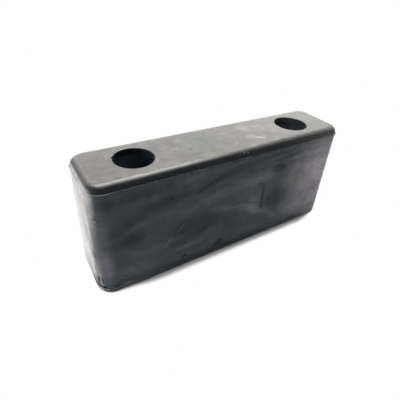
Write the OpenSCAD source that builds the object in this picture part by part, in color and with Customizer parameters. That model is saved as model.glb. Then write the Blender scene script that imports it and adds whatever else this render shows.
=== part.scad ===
// Moulded rubber bumper block
// A solid rubber block that is bolted through two deep pockets in its narrow impact face.
// X runs along the length, Y through the thickness, Z up from the mounting base to the impact face.
// The origin is at the middle of the mounting base. All sizes are in millimetres.

/* [Block] */
// Length at the upper parting line
block_length = 254; // [230:1:400]
// Thickness at the upper parting line
block_thickness = 57.5; // [50:0.5:90]
// Height from the mounting base to the impact face
block_height = 108.5; // [85:0.5:160]
// Radius of the four upright corners at the upper parting line
corner_radius = 12; // [9:0.5:20]
// How far each side has widened when it reaches the base, so that the mould lifts off
side_draft = 2; // [0.4:0.1:4]

/* [Edges] */
// Radius over the edge of the impact face
top_edge_radius = 6.5; // [3:0.1:8]
// Radius under the edge of the mounting base
base_edge_radius = 6.5; // [2:0.1:8]

/* [Mould flash] */
// Height of the lower parting line above the mounting base
lower_parting_height = 10; // [9:0.5:20]
// How far the flash at the upper parting line stands out of the sides
upper_flash_reach = 1; // [0.6:0.1:1.6]
// How far the flash at the lower parting line stands out of the sides
lower_flash_reach = 0.5; // [0.4:0.1:1.2]
// Thickness of both fins of flash
flash_thickness = 0.7; // [0.4:0.1:0.8]

/* [Fastening] */
// Distance between the two bolt axes
bolt_spacing = 166; // [110:1:200]
// Diameter of the pockets that take the bolt heads and washers
pocket_diameter = 32; // [24:0.5:38]
// Depth of the pockets below the impact face
pocket_depth = 65; // [30:1:80]
// Diameter of the bolt holes through the rubber under the pockets
bolt_hole_diameter = 14; // [8:0.5:20]

/* [Hidden] */

// Smoothness of the round stretches
$fn = 96;
// Extra length of a cut, so that it clears the face it opens
cut_clearance = 1;
// Colour of the aged black rubber
rubber_colour = [0.17, 0.18, 0.18];

// The mould splits where the top edge radius meets the sides
upper_parting_z = block_height - top_edge_radius;
// Centres of the upright corners
corner_x = block_length / 2 - corner_radius;
corner_y = block_thickness / 2 - corner_radius;

// Distance from a corner centre out to the side at height z
function side_reach(z) = corner_radius + side_draft * (upper_parting_z - z) / upper_parting_z;

// Quarter disc in the first quadrant
module quarter_disc(radius) {
    intersection() {
        circle(r = radius);
        square(radius);
    }
}

// Thin fin of flash at height z, with a rounded nose
module flash_profile(z, reach) {
    nose_radius = flash_thickness / 2;
    nose_x = side_reach(z) + reach - nose_radius;
    translate([0, z - nose_radius]) square([nose_x, flash_thickness]);
    translate([nose_x, z]) circle(r = nose_radius);
}

// Upright section of one side, from the corner centres outwards
module side_profile() {
    top_flat = corner_radius - top_edge_radius;
    base_flat = side_reach(base_edge_radius) - base_edge_radius;

    // Drafted face between the two rounded edges
    polygon([
        [0, base_edge_radius],
        [side_reach(base_edge_radius), base_edge_radius],
        [corner_radius, upper_parting_z],
        [0, upper_parting_z]
    ]);

    // Rounded edge of the impact face
    translate([0, upper_parting_z]) square([top_flat, top_edge_radius]);
    translate([top_flat, upper_parting_z]) quarter_disc(top_edge_radius);

    // Rounded edge of the mounting base
    square([base_flat, base_edge_radius]);
    translate([base_flat, base_edge_radius]) mirror([0, 1]) quarter_disc(base_edge_radius);

    flash_profile(upper_parting_z, upper_flash_reach);
    flash_profile(lower_parting_height, lower_flash_reach);
}

// Side section swept round one upright corner
module corner_sweep() {
    rotate_extrude(angle = 90) side_profile();
}

// Side section swept along a straight side that is centred on X
module straight_sweep(length) {
    rotate([90, 0, 0]) linear_extrude(height = length, center = true) side_profile();
}

// The moulded block before its pockets and bolt holes
module moulded_block() {
    translate([-corner_x, -corner_y, 0]) cube([2 * corner_x, 2 * corner_y, block_height]);

    translate([corner_x, corner_y, 0]) corner_sweep();
    translate([-corner_x, corner_y, 0]) rotate([0, 0, 90]) corner_sweep();
    translate([-corner_x, -corner_y, 0]) rotate([0, 0, 180]) corner_sweep();
    translate([corner_x, -corner_y, 0]) rotate([0, 0, 270]) corner_sweep();

    for (side = [0, 180]) {
        rotate([0, 0, side]) translate([corner_x, 0, 0]) straight_sweep(2 * corner_y);
        rotate([0, 0, side + 90]) translate([corner_y, 0, 0]) straight_sweep(2 * corner_x);
    }
}

// Pocket for a bolt head and washer, with the bolt hole below it
module fastening_cut() {
    translate([0, 0, block_height - pocket_depth])
        cylinder(d = pocket_diameter, h = pocket_depth + cut_clearance);
    translate([0, 0, -cut_clearance])
        cylinder(d = bolt_hole_diameter, h = block_height - pocket_depth + 2 * cut_clearance);
}

module bumper() {
    color(rubber_colour)
    difference() {
        moulded_block();
        for (side = [-1, 1])
            translate([side * bolt_spacing / 2, 0, 0]) fastening_cut();
    }
}

bumper();
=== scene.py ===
import math

import bmesh
import bpy
from mathutils import Euler, Matrix, Vector, noise


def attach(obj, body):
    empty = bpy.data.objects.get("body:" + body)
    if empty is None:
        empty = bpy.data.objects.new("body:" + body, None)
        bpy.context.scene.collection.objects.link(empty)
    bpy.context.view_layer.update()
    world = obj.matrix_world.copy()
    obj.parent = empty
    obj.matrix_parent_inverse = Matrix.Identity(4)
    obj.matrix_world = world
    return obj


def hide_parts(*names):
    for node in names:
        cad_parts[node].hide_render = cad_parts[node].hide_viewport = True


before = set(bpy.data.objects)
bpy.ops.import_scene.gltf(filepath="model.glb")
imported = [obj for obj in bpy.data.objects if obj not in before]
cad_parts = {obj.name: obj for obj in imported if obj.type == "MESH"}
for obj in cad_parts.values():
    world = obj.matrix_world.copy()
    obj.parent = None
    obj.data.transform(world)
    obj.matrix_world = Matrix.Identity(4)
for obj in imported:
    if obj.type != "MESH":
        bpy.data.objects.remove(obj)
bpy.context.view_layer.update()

# Camera
# The photograph is taken from above and in front of the left end, so the near left corner is closest.
camera_lens = bpy.data.cameras.new("photo_camera")
camera_lens.sensor_width = 36
camera_lens.lens = 29.165
camera_lens.shift_x = -0.0157
camera_lens.shift_y = -0.0130
camera_lens.clip_start = 0.01
camera = bpy.data.objects.new("photo_camera", camera_lens)
camera.location = (-0.15968, -0.21086, 0.23189)
camera.rotation_euler = Euler([math.radians(turn) for turn in (54.800, -3.855, -32.184)])
bpy.context.scene.collection.objects.link(camera)
bpy.context.scene.camera = camera

# Rubber block
# One solid moulding of black rubber, compression moulded in three mould plates, so flash runs round it
# at two parting lines. Two deep round pockets take the bolt heads and washers that hold it down.
mm = 0.001
block_length = 254 * mm
block_thickness = 57.5 * mm
block_height = 108.5 * mm
corner_radius = 12 * mm
edge_radius = 6.5 * mm
side_draft = 2 * mm
upper_parting = block_height - edge_radius
core_x = block_length / 2 - corner_radius
core_y = block_thickness / 2 - corner_radius
outline_step = 0.75 * mm
wall_step = 2.2 * mm
pocket_radius = 16 * mm
pocket_floor = 43.5 * mm
bolt_hole_radius = 7 * mm
pocket_distance = 83 * mm
corner_segments = 24
rim_segments = 160
sharp_turn = math.radians(38)
# Two small spurs of flash, at the far left and the near right corner: place on the outline and length
spurs = []
for side, turn, length in ((-1, math.radians(166), 0.7 * mm), (1, math.radians(-55), 0.9 * mm)):
    spur = Vector((side * core_x + corner_radius * math.cos(turn),
                   -side * core_y + corner_radius * math.sin(turn)))
    spurs.append((spur, length))


def side_reach(height):
    """How far the drafted side stands out from the line of corner centres."""
    return corner_radius + side_draft * (upper_parting - height) / upper_parting


def nearest_core(point):
    """The point of the inner rectangle of corner centres that is nearest to a point of the outline."""
    return Vector((min(max(point.x, -core_x), core_x), min(max(point.y, -core_y), core_y), 0))


def blot(point, size, seed):
    """Soft lumpy noise from 0 to 1 with lumps of about the given size."""
    return 0.5 + 0.5 * noise.noise(Vector((point.x / size, point.y / size, point.z / size + seed * 7.31)))


def ramp(value, low, high):
    """0 below low, 1 above high, and a smooth rise between."""
    share = min(max((value - low) / (high - low), 0), 1)
    return share * share * (3 - 2 * share)


def upper_flash(point):
    """Reach of the flash under the top edge: an even lip on the left, torn ragged on the right half."""
    rag = 0.55 * blot(point, 9 * mm, 1) + 0.45 * blot(point, 2.4 * mm, 2)
    tear = ramp(blot(point, 5 * mm, 3), 0.30, 0.46)
    torn = ramp(point.x, -25 * mm, 35 * mm)
    reach = mm * ((1 - torn) * (0.22 + 0.25 * rag) + torn * (0.12 + 0.75 * rag * tear))
    for spur, length in spurs:
        reach += length * max(0, 1 - (Vector((point.x, point.y)) - spur).length / (1.3 * mm))
    return reach


def folded_skin(point):
    """Stand-out of the thin skin that the torn flash leaves folded down on the sides of the right half."""
    below = Vector((point.x, point.y, 0))
    rag = 0.6 * blot(below, 7 * mm, 11) + 0.4 * blot(below, 2 * mm, 12)
    hang = 0.5 * mm + 3.2 * mm * ramp(rag, 0.35, 0.7)
    share = ramp(point.z, upper_parting - hang - 0.25 * mm, upper_parting - hang + 0.15 * mm)
    share *= ramp(point.x, -32 * mm, -12 * mm) * (1 - ramp(point.z, upper_parting, upper_parting + 0.3 * mm))
    return 0.34 * mm * share


def lower_flash(point):
    """Reach of the flash near the base: a torn lip at the near left corner, faint elsewhere."""
    near_left = ramp(-point.x, 92 * mm, 114 * mm) * ramp(-point.y, 2 * mm, 16 * mm)
    rag = 0.5 * blot(point, 12 * mm, 4) + 0.5 * blot(point, 3 * mm, 5)
    return mm * (0.04 + 0.10 * rag + 0.30 * near_left * (0.5 + rag))


def base_lip(point):
    """The base swells out in a lip at the near left corner, with a groove above it."""
    near_left = ramp(-point.x, 100 * mm, 118 * mm) * ramp(-point.y, 2 * mm, 16 * mm)
    lip = ramp(point.z, 3 * mm, 6 * mm) * (1 - ramp(point.z, 9.9 * mm, 10.35 * mm))
    groove = ramp(point.z, 10.2 * mm, 10.6 * mm) * (1 - ramp(point.z, 11 * mm, 13 * mm))
    return near_left * (0.34 * mm * lip - 0.26 * mm * groove)


def crack(point):
    """Depth of the short upright crack in the near left corner, above the lip."""
    turned = math.degrees(math.atan2(-point.y - core_y, -point.x - core_x))
    beside = abs(turned - 24 - 9 * (blot(Vector((0, 0, point.z)), 5 * mm, 10) - 0.5))
    upright = ramp(point.z, 9.8 * mm, 12 * mm) * (1 - ramp(point.z, 19 * mm, 28 * mm))
    return 0.8 * mm * max(0, 1 - beside / 6) * upright


def next_row(edges):
    """A new row of edges drawn out of a closed row, still in the same place."""
    grown = bmesh.ops.extrude_edge_only(block, edges=edges)["geom"]
    return [part for part in grown if isinstance(part, bmesh.types.BMEdge)]


def points_of(edges):
    """Every point of a row of edges, once."""
    return {vert for edge in edges for vert in edge.verts}


def put_in_scene(name, shape):
    """Make an object of a finished shape and put it in the scene."""
    mesh = bpy.data.meshes.new(name)
    shape.to_mesh(mesh)
    shape.free()
    made = bpy.data.objects.new(name, mesh)
    bpy.context.scene.collection.objects.link(made)
    return made


# Upright section of the side: reach out of the core, height, and how much of the lower and the upper flash
# it carries
section = []
base_flat = side_reach(edge_radius) - edge_radius
base_steps = 10
for step in range(base_steps + 1):
    turn = math.radians(90 * step / base_steps)
    section.append((base_flat + edge_radius * math.sin(turn), edge_radius * (1 - math.cos(turn)), 0, 0))
for height in (8.2 * mm, 9.3 * mm):
    section.append((side_reach(height), height, 0, 0))
for height, share in ((9.6 * mm, 0.2), (9.9 * mm, 1), (10.1 * mm, 1), (10.35 * mm, 0.1), (10.8 * mm, 0)):
    section.append((side_reach(height), height, share, 0))
for height in (11.2 * mm, 11.8 * mm):
    section.append((side_reach(height), height, 0, 0))
wall_foot = 12.6 * mm
skin_foot = 97.6 * mm
wall_rows = round((skin_foot - wall_foot) / wall_step)
for row in range(wall_rows):
    height = wall_foot + row * (skin_foot - wall_foot) / wall_rows
    section.append((side_reach(height), height, 0, 0))
skin_rows = 10
skin_step = 0.4 * mm
for row in range(skin_rows):
    height = skin_foot + skin_step * row
    section.append((side_reach(height), height, 0, 0))
for lift, share in ((-0.75, 0), (-0.42, 0.12), (-0.16, 0.85), (0.02, 1), (0.2, 0.8), (0.42, 0.1)):
    height = upper_parting + lift * mm
    section.append((corner_radius, height, 0, share))
top_steps = 12
first_turn = 6
for step in range(1, top_steps + 1):
    turn = math.radians(first_turn + (90 - first_turn) * step / top_steps)
    section.append((corner_radius - edge_radius * (1 - math.cos(turn)),
                    upper_parting + edge_radius * math.sin(turn), 0, 0))
section.append((corner_radius - edge_radius - 0.6 * mm, block_height, 0, 0))

# The outline is a rectangle with its corners bevelled round, cut fine enough to carry ragged flash
block = bmesh.new()
bmesh.ops.create_grid(block, x_segments=1, y_segments=1, size=0.5)
bmesh.ops.scale(block, vec=(block_length, block_thickness, 1), verts=block.verts)
bmesh.ops.bevel(block, geom=block.verts[:], offset=corner_radius, offset_type="OFFSET", affect="VERTICES",
                segments=corner_segments, profile=0.5, material=-1)
bmesh.ops.delete(block, geom=block.faces[:], context="FACES_ONLY")
for side_length in (2 * core_x, 2 * core_y):
    straight = [edge for edge in block.edges if abs(edge.calc_length() - side_length) < mm]
    bmesh.ops.subdivide_edges(block, edges=straight, cuts=round(side_length / outline_step) - 1)

# Every row of the section is the outline extruded up and pushed out along its own outward directions
outline = block.edges[:]
foot_of_block = outline
for row, (reach, height, lower_share, upper_share) in enumerate(section):
    if row:
        outline = next_row(outline)
    for vert in points_of(outline):
        core = nearest_core(vert.co)
        away = Vector((vert.co.x - core.x, vert.co.y - core.y, 0)).normalized()
        place = core + away * corner_radius
        place.z = height
        grip = ramp(height, 4 * mm, 12 * mm) * ramp(block_height - height, 4 * mm, 12 * mm)
        sink = 0.22 * mm * grip * (blot(place, 55 * mm, 6) - 0.5)
        sink += 0.05 * mm * grip * (blot(place, 9 * mm, 7) - 0.5)
        flash = lower_share * lower_flash(place) + upper_share * upper_flash(place)
        droop = 0.5 * mm * (blot(place, 14 * mm, 8) - 0.5) * (lower_share + upper_share)
        vert.co = core + away * (reach + sink + flash + folded_skin(place) + base_lip(place) - crack(place))
        vert.co.z = height + droop
top_of_block = outline

# The pockets: each rim is rounded over slightly, the wall goes down to a flat floor and the bolt hole on
# down to the base
pocket_section = [(pocket_radius + wider * mm, block_height - depth * mm)
                  for wider, depth in ((1.0, 0), (0.45, 0), (0.2, 0.08), (0.06, 0.22), (0, 0.5))]
pocket_section += [(pocket_radius, block_height - depth * mm)
                   for depth in (1.2, 2.2, 3.6, 6, 10, 16, 24, 32, 40, 48, 56, 62)]
pocket_section += [(pocket_radius - 0.3 * mm, pocket_floor + 0.4 * mm),
                   (pocket_radius - 1.0 * mm, pocket_floor),
                   (bolt_hole_radius + 0.8 * mm, pocket_floor),
                   (bolt_hole_radius, pocket_floor - 0.6 * mm)]
pocket_section += [(bolt_hole_radius, height * mm) for height in (36, 28, 20, 12, 4, 0)]
rims = []
feet = []
tear_turn = 153
tear_width = 3.2
for axis in (-pocket_distance, pocket_distance):
    centre = Vector((axis, 0, 0))
    rim = bmesh.ops.create_circle(block, cap_ends=False, radius=pocket_section[0][0], segments=rim_segments,
                                  matrix=Matrix.Translation((axis, 0, block_height)))["verts"]
    ring = list({edge for vert in rim for edge in vert.link_edges})
    rims += ring
    for row, (radius, height) in enumerate(pocket_section):
        if row:
            ring = next_row(ring)
        for vert in points_of(ring):
            away = Vector((vert.co.x - axis, vert.co.y, 0)).normalized()
            # A small tear runs out of the left rim
            turned = abs(math.degrees(math.atan2(away.y, away.x)) - tear_turn) if axis < 0 else 180
            tear = 1.9 * mm * max(0, 1 - turned / tear_width)
            tear *= ramp(height, block_height - 4 * mm, block_height - 0.3 * mm)
            wave = 0.18 * mm * (blot(Vector((axis, 0, 0)) + away * 12 * mm, 16 * mm, 9) - 0.5)
            vert.co = centre + away * (radius + tear + wave)
            vert.co.z = height
    feet += ring
for edges, normal in ((top_of_block + rims, (0, 0, 1)), (foot_of_block + feet, (0, 0, -1))):
    bmesh.ops.triangle_fill(block, use_beauty=True, use_dissolve=False, normal=normal, edges=edges)
bmesh.ops.recalc_face_normals(block, faces=block.faces[:])

rubber_block = put_in_scene("rubber_block", block)
block_mesh = rubber_block.data
block_mesh.polygons.foreach_set("use_smooth", [True] * len(block_mesh.polygons))
block_mesh.set_sharp_from_angle(angle=sharp_turn)

# The rubber is black under a thin grey bloom. Each face has its own painted marks: bloom that adds tone,
# rubbed or damp places that take it away, and painted light and shade on some faces and edges. Every mark is
# an oval with a centre and half sizes in millimetres, a turn in degrees, a share of its radius over which it
# fades, and what it adds to the tone.
aged_rubber = bpy.data.materials.new("aged_black_rubber")
aged_rubber.use_nodes = True
tree = aged_rubber.node_tree
shader = tree.nodes["Principled BSDF"]


def plug(socket, value):
    """Give an input of a node either another node's output or a plain value."""
    if isinstance(value, bpy.types.NodeSocket):
        tree.links.new(value, socket)
    else:
        socket.default_value = value


def add_node(kind, inputs, **settings):
    """Add a node with its inputs and settings to the current tree."""
    node = tree.nodes.new("ShaderNode" + kind)
    for name, value in settings.items():
        setattr(node, name, value)
    for socket, value in inputs.items():
        plug(node.inputs[socket], value)
    return node


def maths(operation, *values):
    return add_node("Math", dict(enumerate(values)), operation=operation).outputs["Value"]


def vectors(operation, *values):
    return add_node("VectorMath", dict(enumerate(values)), operation=operation).outputs["Vector"]


def apart_from(share):
    """The rest that a share leaves of 1."""
    return maths("SUBTRACT", 1, share)


def scaled(vector, share):
    """A vector or tone multiplied by one number."""
    return add_node("VectorMath", {0: vector, "Scale": share}, operation="SCALE").outputs["Vector"]


def rise(value, low, high):
    """0 below low, 1 above high and a smooth rise between."""
    return add_node("MapRange", {"Value": value, "From Min": low, "From Max": high},
                    interpolation_type="SMOOTHSTEP").outputs["Result"]


def span(value, low, high):
    """Spread a 0 to 1 value over low to high."""
    return add_node("MapRange", {"Value": value, "To Min": low, "To Max": high}).outputs["Result"]


def clouds(point, lump, seed, detail=3.0, roughness=0.5):
    """Lumpy noise from 0 to 1 with lumps of about the given size in millimetres."""
    return add_node("TexNoise", {"Vector": point, "W": seed, "Scale": 1 / lump, "Detail": detail,
                                 "Roughness": roughness}, noise_dimensions="4D")


def strayed(point, lump, reach, seed):
    """The same point moved about by noise, so that the marks get wandering edges."""
    split = add_node("SeparateColor", {"Color": clouds(point, lump, seed).outputs["Color"]})
    drift = add_node("CombineXYZ", {"X": split.outputs["Red"], "Y": split.outputs["Green"],
                                    "Z": split.outputs["Blue"]})
    drift = vectors("SUBTRACT", drift.outputs["Vector"], (0.5, 0.5, 0.5))
    return vectors("MULTIPLY_ADD", drift, (reach, reach, reach), point)


# Tints that a mark's strength is multiplied by; a dark mark takes the colour away instead of adding it
bloom = (1.07, 0.95, 1.05)
cool = (0.88, 1.04, 1.04)
cream = (1.12, 1.02, 0.85)
tan = (0.7, 1.0, 1.5)
blue = (1.4, 0.8, 0.5)
green = (1.4, 0.6, 1.0)


def tinted(strength, tint=(1, 1, 1)):
    """How much a mark adds to the tone, or takes from it when the strength is below 0."""
    return [strength * part for part in tint]


# The block's axes by number
length_axis = 0
thickness_axis = 1
height_axis = 2


def painted(tone, point, across, up, marks):
    """Add each mark of a face to the tone. Its centre and half sizes are measured along the axes across and
    up, and along the third it goes right through the block."""
    through = length_axis + thickness_axis + height_axis - across - up
    endless = 1e6
    for name, centre, half_sizes, turn, fade, shift in marks:
        spot = [0, 0, 0]
        reach = [endless, endless, endless]
        spin = [0, 0, 0]
        spot[across], spot[up] = centre
        reach[across], reach[up] = half_sizes
        spin[through] = math.radians(-turn if through == thickness_axis else turn)
        place = add_node("Mapping", {"Vector": point, "Location": spot, "Scale": reach, "Rotation": spin},
                         vector_type="TEXTURE", label=name)
        ball = add_node("TexGradient", {"Vector": place.outputs["Vector"]}, gradient_type="SPHERICAL")
        tone = vectors("ADD", tone, scaled(shift, rise(ball.outputs["Fac"], 0, fade)))
    return tone


def blended(lower, upper, share):
    """One tone laid over another by a share."""
    mix = add_node("Mix", {"Factor": share}, data_type="VECTOR")
    # Inputs 4 and 5 and output 1 are the ones that a mix of vectors uses
    plug(mix.inputs[4], lower)
    plug(mix.inputs[5], upper)
    return mix.outputs[1]


# Places on the block in millimetres, and which way its surface faces there
coordinates = add_node("TexCoord", {})
point = scaled(coordinates.outputs["Object"], 1 / mm)
facing = add_node("SeparateXYZ", {"Vector": coordinates.outputs["Normal"]})
is_front = rise(maths("MULTIPLY", facing.outputs["Y"], -1), 0.1, 0.6)
is_left = rise(maths("MULTIPLY", facing.outputs["X"], -1), 0.62, 0.97)
axes = add_node("SeparateXYZ", {"Vector": point})
along, sideways, height = axes.outputs["X"], axes.outputs["Y"], axes.outputs["Z"]
is_top = maths("MULTIPLY", rise(facing.outputs["Z"], 0.62, 0.97), rise(height, 103.5, 105))

# Soft marks have widely wandering edges, firm ones slightly uneven edges
soft_point = strayed(strayed(point, 22, 5.5, 3.1), 5, 1.8, 7.7)
firm_point = strayed(point, 7, 0.9, 12.4)

front_tone = painted((0.036, 0.044, 0.048), firm_point, length_axis, height_axis, (
    ("dark smear", (32.5, 54), (3.2, 17), -3, 0.7, tinted(-0.04)),
    ("foot of the smear", (33, 41), (4, 4.5), 0, 0.7, tinted(-0.04)),
    ("head of the smear", (31, 67), (5, 4.5), 0, 0.7, tinted(-0.02)),
    ("smudge left", (-53, 15), (4.5, 3.5), 10, 0.6, tinted(-0.03)),
    ("smudge", (-16, 15.5), (7, 3.8), 12, 0.5, tinted(-0.04)),
    ("dark spot high left", (-67, 95.5), (3.5, 3.5), 0, 0.8, tinted(-0.015)),
    ("dark spot beside it", (-52.5, 89), (4.5, 3.5), -30, 0.8, tinted(-0.015)),
    ("dark spot by the left end", (-84, 90), (5, 9), 0, 0.9, tinted(-0.01)),
    ("short streak low", (-31, 39.5), (5.5, 1.4), 5, 0.6, tinted(-0.015)),
    ("short streak high", (-39, 81), (5, 1.7), 20, 0.6, tinted(-0.02)),
    ("short streak left", (-66, 82), (3, 1.2), 20, 0.6, tinted(-0.015)),
    ("upright scuff", (-44, 41), (0.8, 7), 14, 0.8, tinted(0.02)),
    ("arc scuff", (-15, 40), (0.9, 8), 22, 0.8, tinted(0.02)),
    ("bright scratch low", (-68, 38.5), (9, 1), 50, 0.7, tinted(0.05)),
    ("bright scratch high", (-56.5, 49.5), (8, 0.9), 42, 0.7, tinted(0.045)),
    ("faint scratch", (-89, 49), (8, 0.8), 38, 0.8, tinted(0.02)),
    ("double scratch", (-101, 63), (13, 0.9), 12, 0.8, tinted(0.015)),
    ("light line", (-43, 52), (7, 0.8), 48, 0.8, tinted(0.02)),
    ("thin dark line low", (-28, 62), (15, 0.7), 33, 0.8, tinted(-0.02)),
    ("thin dark line", (-5, 76), (17, 0.7), 32, 0.8, tinted(-0.02)),
    ("thin dark line high", (15, 89), (12, 0.7), 34, 0.8, tinted(-0.025)),
    ("thin line left", (-41, 71.5), (13, 0.7), -38, 0.8, tinted(-0.015)),
    ("faint line in the middle", (-5, 56), (15, 0.7), -4, 0.8, tinted(-0.03)),
    ("faint line to the right", (24, 49.5), (20, 0.7), -15, 0.8, tinted(-0.03)),
    ("witness line left", (-60, 85.3), (70, 0.8), 0, 0.9, tinted(-0.008)),
    ("witness line right", (62, 85.2), (60, 0.9), 0, 0.7, tinted(-0.02)),
    ("speck on the left corner", (-124.6, 81.3), (1.3, 1.1), 0, 0.6, tinted(-0.08)),
    ("speck low left", (-108.1, 18.9), (2, 1), 0, 0.6, tinted(-0.06)),
    ("speck over the smear", (24.5, 69.3), (1.2, 0.9), 0, 0.6, tinted(-0.08)),
    ("speck beside it", (27.6, 69.7), (1.2, 0.9), 0, 0.6, tinted(-0.08)),
    ("arc mark upper", (106, 79), (4, 1), -20, 0.7, tinted(0.04)),
    ("arc mark lower", (112.5, 64.4), (4, 1.2), -35, 0.7, tinted(-0.06)),
))
front_tone = painted(front_tone, soft_point, length_axis, height_axis, (
    # The bloom over the right end is partly real bloom and partly a painted reflection that lightens the
    # front towards its right end
    ("bloom over the right end", (130, 58), (85, 80), 0, 1, tinted(0.26, bloom)),
    ("pale upper right", (99, 72), (26, 12), -6, 0.9, tinted(0.07, bloom)),
    ("palest stripe", (103, 75), (14, 5), -14, 0.9, tinted(0.04, cream)),
    ("lavender patch", (71, 77), (11, 8), 0, 0.6, tinted(0.03, bloom)),
    ("cream drip", (69, 66), (8, 12), 15, 0.8, tinted(0.04, cream)),
    ("cream patch", (107, 61), (13, 6), -22, 0.8, tinted(0.05, cream)),
    ("lavender by the end", (114, 76), (9, 5), -12, 0.9, tinted(0.03, bloom)),
    ("pink band under the edge", (92, 89), (42, 5), 2, 0.9, tinted(0.04, bloom)),
    ("pale streak under the edge", (98, 97), (22, 4), 6, 0.9, tinted(0.03, bloom)),
    ("dark drift under the edge", (62, 92), (30, 4), 6, 0.9, tinted(-0.02)),
    ("dark drift right of centre", (48, 97), (34, 4), 3, 0.9, tinted(-0.02)),
    ("dark by the end", (109, 45), (13, 9), 25, 0.8, tinted(-0.06)),
    ("dark drip by the end", (97, 27), (4, 17), -6, 0.8, tinted(-0.04)),
    ("pale lower corner", (111, 26), (10, 10), 0, 0.9, tinted(0.02)),
    ("dull blotch", (86, 65), (7, 8), 0, 0.8, tinted(-0.02)),
    ("grey between", (86, 52), (18, 12), 0, 1, tinted(0.03)),
    ("dark patch", (49, 81), (12, 5.5), -3, 0.5, tinted(-0.04)),
    ("dark oval", (52, 47), (22, 17), -15, 0.7, tinted(-0.04)),
    ("pale beside the smear", (23, 52), (14, 12), 0, 1, tinted(0.04, cool)),
    ("pale fan", (22, 43), (30, 7), -27, 0.8, tinted(0.05, cool)),
    ("pale fan middle", (30, 38), (22, 4.5), -27, 0.8, tinted(0.03, cool)),
    ("pale fan root", (-12, 54), (20, 5), -16, 0.8, tinted(0.02, cool)),
    ("pale fan foot", (50, 26), (16, 6), -28, 0.9, tinted(0.03)),
    ("pale lower right", (80, 24), (34, 14), 0, 1, tinted(0.05)),
    ("grey foot right of centre", (20, 20), (26, 9), -6, 1, tinted(0.02)),
    ("light band", (-20, 71), (52, 9), 9, 0.9, tinted(0.02, cool)),
    ("light band left", (-76, 68), (34, 5), 4, 0.9, tinted(0.01, cool)),
    ("light band right", (24, 75), (36, 11), 8, 0.9, tinted(0.05, cool)),
    ("light above the smear", (20, 62), (26, 9), 0, 1, tinted(0.02)),
    ("dark sweep", (-72, 80), (36, 7), 6, 0.7, tinted(-0.02)),
    ("dark sweep tail", (-104, 69), (26, 7), 18, 0.8, tinted(-0.015)),
    ("dark sweep head", (-30, 85), (22, 5), 18, 0.8, tinted(-0.015)),
    ("dark upper band", (-5, 91), (48, 7), 7, 0.8, tinted(-0.02)),
    ("dark upper left", (-92, 94), (40, 10), 0, 1, tinted(-0.015)),
    ("light upper middle", (-42, 96), (30, 6), 4, 0.9, tinted(0.02, cool)),
    ("light upper left", (-86, 88), (20, 5), 4, 0.9, tinted(0.01)),
    ("dark lens left", (-100, 55), (20, 12), 6, 0.8, tinted(-0.02)),
    ("dark lens left core", (-100, 55), (11, 7), 6, 0.9, tinted(-0.01)),
    ("dark lens", (-40, 47), (38, 13), -4, 0.6, tinted(-0.025)),
    ("dark lens arm", (-4, 36), (18, 16), -30, 0.9, tinted(-0.015)),
    ("dark lens foot", (-48, 36), (34, 6), 6, 0.9, tinted(-0.015)),
    ("pale curl in the lens", (-27, 38), (8, 5), 10, 0.8, tinted(0.01)),
    ("pale lower left", (-86, 36), (30, 9), -4, 0.9, tinted(0.02, bloom)),
    ("grey lower left", (-98, 22), (34, 12), 0, 1, tinted(0.03, bloom)),
    ("pale strip", (-50, 27), (34, 4), 2, 0.9, tinted(0.025)),
    ("grey foot", (-45, 18), (60, 7), 0, 1, tinted(0.01)),
    # The corner glows are painted light on the near left corner, where it turns towards the lamp on the left
    ("corner glow low", (-120, 36), (8, 26), 0, 1, tinted(0.05, bloom)),
    ("corner glow high", (-119, 70), (7, 20), 0, 1, tinted(0.02, bloom)),
    ("corner shade", (-117, 94), (9, 11), 0, 1, tinted(-0.015)),
    # The dark feet are painted shade along the foot of the front, where it mirrors the table's shadow
    ("dark foot left", (-108, 12), (26, 5), 0, 0.9, tinted(-0.02)),
    ("dark foot", (-10, 9), (115, 6), 0, 0.9, tinted(-0.03)),
    ("dark foot right", (90, 9), (36, 5), 0, 0.9, tinted(-0.05)),
))
# The top is painted far lighter than the front: part grey bloom, part painted light for the sheen it takes
# from the lamps behind
top_tone = painted((0.205, 0.195, 0.18), firm_point, length_axis, thickness_axis, (
    ("dark speck left", (-118, 7), (1.8, 1.4), 0, 0.7, tinted(-0.03)),
    ("dark speck back", (-38, 20), (2.4, 0.9), 50, 0.7, tinted(-0.04)),
    ("bright speck", (-46, 0.3), (1.6, 1.2), 60, 0.8, tinted(0.12)),
    ("dark speck", (-36, -6), (2.6, 2), 0, 0.8, tinted(-0.1)),
    ("dark nick", (-17, -13), (2.5, 0.9), 40, 0.7, tinted(-0.05)),
    ("bright scuff", (33, -12), (8, 1.4), -32, 0.8, tinted(0.3)),
    ("bright scuff left", (5, -14), (7, 1.2), 30, 0.8, tinted(0.1)),
))
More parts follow.
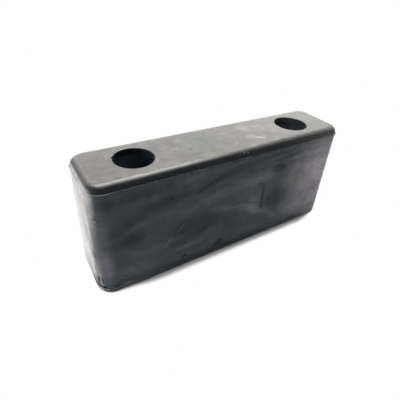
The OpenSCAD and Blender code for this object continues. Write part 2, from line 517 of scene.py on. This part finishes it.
top_tone = painted(top_tone, soft_point, length_axis, thickness_axis, (
    ("grey left end", (-115, 0), (50, 60), 0, 1, tinted(-0.05)),
    ("pink cast left", (-108, 14), (22, 12), 0, 1, tinted(0.04, bloom)),
    ("tan stain", (-46, 12), (8, 13), -22, 0.8, tinted(-0.045, tan)),
    ("tan stain front", (-48, -10), (13, 12), 10, 1, tinted(-0.02, tan)),
    ("blue-grey by the left hole", (-62, 6), (9, 20), 0, 1, tinted(-0.035, blue)),
    ("green cast", (-22, 4), (34, 26), 0, 1, tinted(-0.03, green)),
    ("green cast front", (-25, -16), (32, 10), 0, 1, tinted(-0.02, green)),
    ("pale patch", (31, 11), (10, 11), 0, 0.9, tinted(0.11)),
    ("pale patch front", (30, -10), (14, 7), -25, 0.9, tinted(0.08)),
    ("pale behind", (42, 10), (12, 12), 0, 1, tinted(0.07)),
    ("dark drift in the pale patch", (38, 9), (6, 4), 0, 0.9, tinted(-0.06)),
    ("dark drift left of it", (20, 6), (8, 4), 0, 0.9, tinted(-0.05)),
    ("dark drift in the middle", (-7, 6), (5, 5), 0, 0.9, tinted(-0.03)),
    ("dark drift near the front", (2, -10), (16, 7), 10, 1, tinted(-0.02)),
    ("pink cast right", (66, -8), (16, 18), 0, 1, tinted(0.03, bloom)),
    ("tan cast", (55, 2), (14, 14), 0, 1, tinted(0.03, cream)),
    ("right end", (116, 0), (26, 34), 0, 1, tinted(-0.03)),
    ("pale right of the hole", (108, 6), (12, 16), 0, 1, tinted(0.03)),
    # The three tints colour and brighten a painted highlight along the front edge of the top
    ("blue tint of the painted highlight on the edge", (-70, -25), (11, 3), 0, 0.7, tinted(-0.025, blue)),
    ("cream tint of the painted highlight on the edge", (-51, -25), (7, 3), 0, 0.7, tinted(0.08, cream)),
    ("green tint of the painted highlight on the edge", (-40, -25), (7, 3), 0, 0.7, tinted(-0.02, green)),
))
# The left end is painted near white: part pale bloom, part painted light for the glancing light and sheen it
# takes from the left. Its grey corner is painted shade where the end turns towards the front.
left_tone = painted((0.27, 0.262, 0.262), soft_point, thickness_axis, height_axis, (
    ("grey corner", (-24, 50), (12, 60), 0, 0.9, tinted(-0.2)),
    ("grey patch", (-9, 58), (10, 17), -18, 0.8, tinted(-0.12)),
    ("grey patch low", (-15, 44), (9, 8), -20, 0.9, tinted(-0.15)),
    ("grey upper", (-15, 88), (9, 14), 0, 0.9, tinted(-0.1)),
    ("grey upper middle", (-1, 92), (4, 8), 0, 0.9, tinted(-0.05)),
    ("bright far side", (12, 50), (12, 60), 0, 1, tinted(0.15)),
    ("pale middle low", (0, 36), (14, 12), 0, 1, tinted(0.15)),
    ("grey low", (-2, 17), (22, 8), 0, 1, tinted(-0.15)),
    # Painted shade at the foot of the left end, and a painted shadow under the flash
    ("dark foot left end", (0, 8), (30, 5), 0, 0.9, tinted(-0.1)),
    ("dark near foot", (-18, 15), (10, 9), 20, 0.9, tinted(-0.12)),
    ("painted shadow under the flash", (0, 100.5), (30, 1.8), 0, 0.9, tinted(-0.25)),
))

# The faces that the photo hides carry the same kind of bloom, wiped about lengthwise, and have scratches
# of their own
swept = add_node("Mapping", {"Vector": soft_point, "Rotation": (0, math.radians(-14), 0),
                             "Scale": (0.42, 0.8, 1)})
drifts = clouds(swept.outputs["Vector"], 26, 21.3, 4.0, 0.55).outputs["Fac"]
other_tone = blended((0.024, 0.029, 0.031), (0.072, 0.073, 0.075), rise(drifts, 0.36, 0.72))
other_tone = painted(other_tone, firm_point, length_axis, height_axis, (
    ("long scratch", (34, 62), (32, 0.7), -27, 0.5, (0.035, 0.036, 0.036)),
    ("scratch beside it", (22, 55), (15, 0.6), -31, 0.6, (0.025, 0.026, 0.026)),
    ("thin dark scratch", (-58, 70), (26, 0.7), 33, 0.5, (-0.02, -0.02, -0.02)),
    ("pale scuff", (-30, 31), (24, 4), 7, 1, (0.03, 0.03, 0.031)),
    ("rubbed patch", (74, 36), (26, 13), -12, 1, (-0.018, -0.018, -0.017)),
    ("rubbed patch up", (-88, 62), (22, 15), 18, 1, (-0.016, -0.016, -0.015)),
))
tone = blended(other_tone, front_tone, is_front)
tone = blended(tone, left_tone, is_left)
tone = blended(tone, top_tone, is_top)

# Round inside the pockets the skin is dull and a little bluish. The tones differ from wall to wall, as the
# light that reaches them in the photo does.
from_axis = maths("SUBTRACT", maths("ABSOLUTE", along), pocket_distance / mm)
from_axis = add_node("CombineXYZ", {"X": from_axis, "Y": sideways}).outputs["Vector"]
from_axis = add_node("VectorMath", {0: from_axis}, operation="LENGTH").outputs["Value"]
inside = apart_from(rise(from_axis, pocket_radius / mm + 0.1, pocket_radius / mm + 1))
left_pocket_tone = blended((0.046, 0.056, 0.066), (0.004, 0.006, 0.009), rise(along, -100, -62))
right_pocket_tone = blended((0.05, 0.056, 0.065), (0.013, 0.021, 0.031), rise(height, 98, 106))
pocket_tone = blended(left_pocket_tone, right_pocket_tone, rise(along, -20, 20))
tone = blended(tone, pocket_tone, inside)

# The rounded edge under the impact face is painted dark as shade, and greyer towards both ends
side_on = apart_from(is_top)
parting = upper_parting / mm
over_edge = maths("MULTIPLY", rise(height, parting + 0.2, parting + 1), side_on)
painted_edge_shade = blended((0.040, 0.036, 0.046), (0.003, 0.005, 0.007), rise(along, -127.5, -119))
painted_edge_shade = blended(painted_edge_shade, (0.050, 0.049, 0.050), rise(along, 45, 128))
tone = blended(tone, painted_edge_shade, maths("MULTIPLY", over_edge, apart_from(is_left)))

# The rounded edge of the base is painted near black as shade too, except on the left end
base_edge_shade = apart_from(rise(height, 3.5, 9.5))
tone = blended(tone, (0.002, 0.004, 0.008), maths("MULTIPLY", base_edge_shade, apart_from(is_left)))

# Two small chips in the front of the upper edge
chips = painted((0, 0, 0), firm_point, length_axis, height_axis, (
    ("chip", (4, 106.1), (1.1, 0.8), 0, 0.7, (0.16, 0.17, 0.17)),
    ("chip beside it", (7.5, 105.8), (1.1, 0.8), 0, 0.7, (0.13, 0.14, 0.14)),
))
tone = vectors("ADD", tone, scaled(chips, rise(sideways, -10, -20)))

# Painted shade along the foot of the left end, and the damaged near left corner, with painted shade in its
# crack and in the nick above it
left_foot_shade = maths("MULTIPLY", apart_from(rise(height, 4.4, 6.6)), is_left)
tone = blended(tone, (0.035, 0.038, 0.040), maths("MULTIPLY", left_foot_shade, 0.85))
corner_marks = painted((0, 0, 0), point, thickness_axis, height_axis, (
    ("crack in the near left corner", (-21.2, 15), (0.8, 7), 10, 0.7, (-0.3, -0.3, -0.3)),
    ("nick above the crack", (-18.3, 27), (0.6, 4), 8, 0.7, (-0.25, -0.25, -0.25)),
    ("dirty tear beside the crack", (-25.5, 17.5), (1.1, 5.5), -5, 0.7, (-0.085, -0.088, -0.094)),
    ("dirty tear below it", (-26.4, 10), (1.6, 1.5), 20, 0.5, (-0.08, -0.084, -0.09)),
    ("bright speck", (-28.3, 8.1), (0.55, 0.45), 0, 0.6, (0.5, 0.5, 0.52)),
))
tone = vectors("ADD", tone, scaled(corner_marks, rise(along, -100, -115)))

# Dust on the lip of the flash, with a painted highlight where the lip catches light from above: thick at the
# left corners and the left end, a broken line further right
lip = apart_from(rise(maths("ABSOLUTE", maths("SUBTRACT", height, parting + 0.15)), 0.15, 0.5))
broken = rise(clouds(point, 3.2, 5.5).outputs["Fac"], 0.46, 0.62)
further = maths("MULTIPLY", broken, span(rise(along, -60, -10), 0.55, 0.05))
dust_and_highlight = maths("MAXIMUM", apart_from(rise(along, -120, -98)), further)
dust_and_highlight = maths("MULTIPLY", maths("MULTIPLY", dust_and_highlight, lip), apart_from(inside))
tone = blended(tone, blended((0.130, 0.128, 0.108), (0.42, 0.39, 0.36), is_left), dust_and_highlight)

# Painted shadow under the torn flash and the folded skin of the right half, fading towards the right end
above_skin = rise(height, parting - 3.2, parting - 1)
band = maths("MULTIPLY", above_skin, apart_from(rise(height, parting + 0.9, parting + 1.5)))
drawn_out = add_node("Mapping", {"Vector": point, "Scale": (0.42, 1, 1.25)}).outputs["Vector"]
crevice_shadow = maths("MULTIPLY_ADD", clouds(point, 13, 28.0, 1.0).outputs["Fac"], 0.5,
                 clouds(drawn_out, 1.7, 26.0, 4.0).outputs["Fac"])
crevice_shadow = rise(crevice_shadow, 0.76, 0.87)
crevice_shadow = maths("MAXIMUM", crevice_shadow, maths("MULTIPLY", rise(height, parting - 0.9, parting - 0.4), 0.9))
crevice_shadow = maths("MULTIPLY", band, crevice_shadow)
strength = maths("MULTIPLY", rise(along, -34, -8), apart_from(rise(along, 62, 108)))
crevice_shadow = maths("MULTIPLY", maths("MULTIPLY", crevice_shadow, strength), apart_from(is_top))
tone = blended(tone, (0.001, 0.002, 0.003), maths("MULTIPLY", crevice_shadow, 0.9))

# Mottling, drawn-out wiping streaks and fine grain over everything
wiped = add_node("Mapping", {"Vector": firm_point, "Rotation": (0, math.radians(8), 0),
                             "Scale": (0.16, 0.6, 1)})
streaks = clouds(wiped.outputs["Vector"], 2.6, 9.2, 4.0, 0.6).outputs["Fac"]
mottle = clouds(point, 7, 15.0, 5.0, 0.6).outputs["Fac"]
grain = clouds(point, 0.7, 18.5, 2.0).outputs["Fac"]
unevenness = maths("MULTIPLY", span(mottle, 0.55, 1.45),
                   maths("MULTIPLY", span(streaks, 0.72, 1.28), span(grain, 0.85, 1.15)))
tone = scaled(tone, unevenness)
tone = vectors("MAXIMUM", tone, (0.002, 0.003, 0.004))
tree.links.new(tone, shader.inputs["Base Color"])

# The shine is uneven, and duller on the rounded edge
sheen_spots = clouds(soft_point, 12, 31.0, 4.0).outputs["Fac"]
dullness = maths("MULTIPLY_ADD", over_edge, 0.16, span(sheen_spots, 0.14, 0.30))
tree.links.new(dullness, shader.inputs["Roughness"])
shader.inputs["Specular IOR Level"].default_value = 0.13
shader.inputs["Sheen Weight"].default_value = 0.1
shader.inputs["Sheen Roughness"].default_value = 0.4

# Moulded skin: a faint orange peel, shallow waves and fine wiping lines
relief = maths("MULTIPLY", clouds(point, 1.1, 41.0, 3.0).outputs["Fac"], 0.035)
relief = maths("MULTIPLY_ADD", clouds(point, 6.5, 43.0, 2.0).outputs["Fac"], 0.10, relief)
relief = maths("MULTIPLY_ADD", streaks, 0.03, relief)
skin = add_node("Bump", {"Height": relief, "Distance": 0.001, "Strength": 0.8})
tree.links.new(skin.outputs["Normal"], shader.inputs["Normal"])
block_mesh.materials.append(aged_rubber)

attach(rubber_block, "root")
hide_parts("bumper")

# Floor and light
# A plain white table in a white room, lit by large soft lamps from behind, above and the left, with a
# weaker one in front. The table shows white but for the shadow at the foot of the block.
floor_sheet = bmesh.new()
table_radius = 4
bmesh.ops.create_circle(floor_sheet, cap_ends=True, radius=table_radius, segments=96)
floor = put_in_scene("white_table", floor_sheet)


def seen_directly():
    """1 for the rays that carry a picture of the room: camera rays, and rays mirrored or let through."""
    rays = add_node("LightPath", {})
    seen = maths("MAXIMUM", rays.outputs["Is Camera Ray"], rays.outputs["Is Glossy Ray"])
    return maths("MAXIMUM", seen, rays.outputs["Is Transmission Ray"])


table_white = bpy.data.materials.new("table_white")
table_white.use_nodes = True
tree = table_white.node_tree
tree.nodes.clear()
# The shadow lies only in front of the block and close to it, and is wider as the block mirrors it
spot = add_node("SeparateXYZ", {"Vector": add_node("TexCoord", {}).outputs["Object"]})
in_front = maths("MULTIPLY", rise(maths("MULTIPLY", spot.outputs["Y"], -1), 12 * mm, 30 * mm),
                 maths("MULTIPLY", rise(spot.outputs["X"], -122 * mm, -74 * mm),
                       apart_from(rise(spot.outputs["X"], 94 * mm, 128 * mm))))
mirrored = add_node("LightPath", {}).outputs["Is Glossy Ray"]
shadow_reach = maths("MULTIPLY_ADD", mirrored, 70 * mm, 7.8 * mm)
nearness = add_node("AmbientOcclusion", {"Distance": shadow_reach}, samples=16)
openness = maths("MULTIPLY_ADD", apart_from(in_front), 0.5, nearness.outputs["AO"])
# The table's own colour is also painted a little darker in the shadow
table_tone = blended((0.74, 0.74, 0.74), (0.86, 0.86, 0.85), rise(openness, 0.45, 0.92))
matt = add_node("BsdfDiffuse", {"Color": table_tone})
glow = add_node("Emission", {"Color": (1, 1, 1, 1), "Strength": 1})
open_table = maths("MULTIPLY", seen_directly(), rise(openness, 0.45, 0.92))
blend = add_node("MixShader", {"Fac": open_table, 1: matt.outputs["BSDF"], 2: glow.outputs["Emission"]})
add_node("OutputMaterial", {"Surface": blend.outputs["Shader"]})
floor.data.materials.append(table_white)

room = bpy.data.worlds.new("white_room")
room.use_nodes = True
bpy.context.scene.world = room
tree = room.node_tree
tree.nodes.clear()
dim = add_node("Background", {"Color": (1, 1, 1, 1), "Strength": 0.06})
white = add_node("Background", {"Color": (1, 1, 1, 1), "Strength": 1})
blend = add_node("MixShader", {"Fac": seen_directly(), 1: dim.outputs["Background"],
                               2: white.outputs["Background"]})
add_node("OutputWorld", {"Surface": blend.outputs["Shader"]})


aim = Vector((0, 0, 50 * mm))


def soft_lamp(name, bearing, height, distance, width, depth, power):
    """A large soft lamp aimed at the block, at a bearing from +Y towards +X and a height, both in degrees."""
    data = bpy.data.lights.new(name, "AREA")
    data.shape = "RECTANGLE"
    data.size = width
    data.size_y = depth
    data.energy = power
    lamp = bpy.data.objects.new(name, data)
    flat = math.cos(math.radians(height)) * distance
    lamp.location = (flat * math.sin(math.radians(bearing)), flat * math.cos(math.radians(bearing)),
                     math.sin(math.radians(height)) * distance + aim.z)
    lamp.rotation_euler = (aim - lamp.location).to_track_quat("-Z", "Y").to_euler()
    lamp.visible_camera = False
    bpy.context.scene.collection.objects.link(lamp)
    return lamp


soft_lamp("back_window", 22, 24, 1.3, 1.8, 0.8, 8)
soft_lamp("high_back", 22, 48, 1.25, 1.3, 0.42, 9.5)
for name, across, depth, power in (("overhead_strip", 0.21, 0.62, 65), ("overhead_front", -0.29, 0.38, 16)):
    strip = soft_lamp(name, 0, 80, 1.2, 1.1, depth, power)
    strip.location = (0.06, across, 1.2)
    strip.rotation_euler = (0, 0, 0)
    strip.visible_diffuse = False
front_fill = soft_lamp("front_fill", 205, 48, 1.5, 1.6, 1.0, 9)
front_fill.visible_glossy = False
low_left = soft_lamp("low_left", -82, 15, 1.4, 1.2, 0.7, 24)
low_left.visible_glossy = False

view = bpy.context.scene.view_settings
view.view_transform = "Standard"
